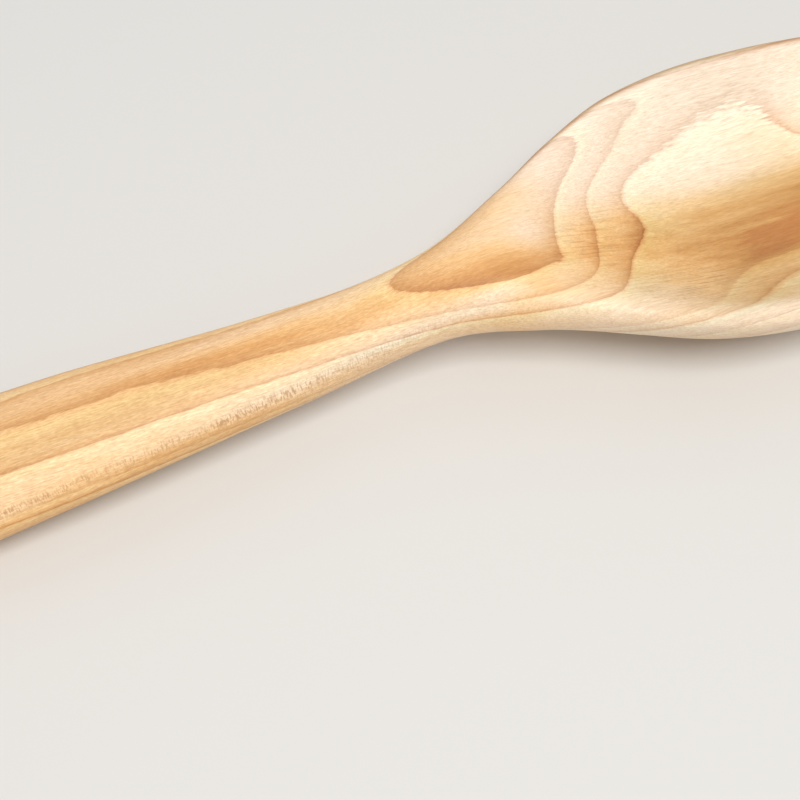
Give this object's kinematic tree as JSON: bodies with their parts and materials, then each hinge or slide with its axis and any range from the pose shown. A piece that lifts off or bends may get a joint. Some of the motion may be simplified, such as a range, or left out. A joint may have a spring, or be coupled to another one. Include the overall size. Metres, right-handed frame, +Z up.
{
  "type": "carved wooden cooking spoon",
  "caption": "One-piece carved wooden cooking spoon with an oval hollow bowl, a raised shoulder and a tapering round-ended handle.",
  "frame": {"origin": "middle of the small sanded flat under the belly of the bowl, on the surface the spoon rests on", "axes": "+X along the spoon from the handle towards the tip of the bowl, +Y across it to the left, +Z up out of the bowl"},
  "size_m": [0.277, 0.0621, 0.026],
  "materials": {
    "spoon_wood": "sanded and lightly oiled, satin"
  },
  "bodies": {
    "root": {"spoon": "spoon_wood"}
  },
  "joints": []
}
